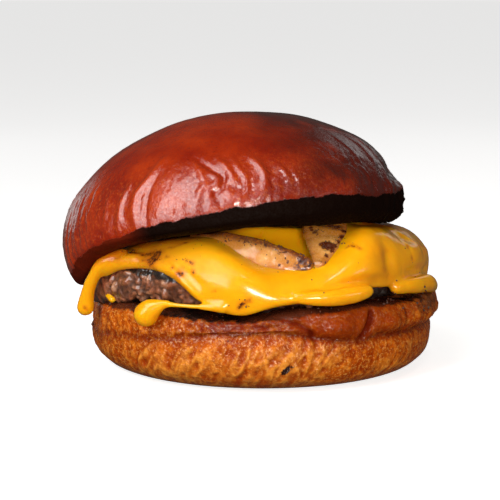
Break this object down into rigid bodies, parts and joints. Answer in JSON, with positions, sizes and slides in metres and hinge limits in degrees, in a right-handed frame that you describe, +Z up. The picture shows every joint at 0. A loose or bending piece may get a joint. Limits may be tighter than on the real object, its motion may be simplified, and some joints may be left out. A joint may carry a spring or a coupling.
{
  "type": "cheeseburger",
  "caption": "Cheeseburger on a glossy brioche bun, with melted cheese draped over a grilled beef patty and grilled onion showing under a tilted crown.",
  "frame": {"origin": "centre of the heel's flat underside", "axes": "+Z up, +X to the burger's right as seen from its open front, -Y towards that front"},
  "size_m": [0.1211, 0.1134, 0.0812],
  "materials": {
    "crust": "glossy egg-washed crust",
    "heel_crust": "satin baked crust",
    "beef": "moist seared meat",
    "cheese": "glossy melted",
    "onion": "moist grilled"
  },
  "bodies": {
    "root": {"bun_crown": "crust", "bun_heel": "heel_crust", "beef_patty": "beef", "melted_cheese": "cheese", "onion_petal_front": "onion", "onion_petal_right": "onion"}
  },
  "joints": []
}
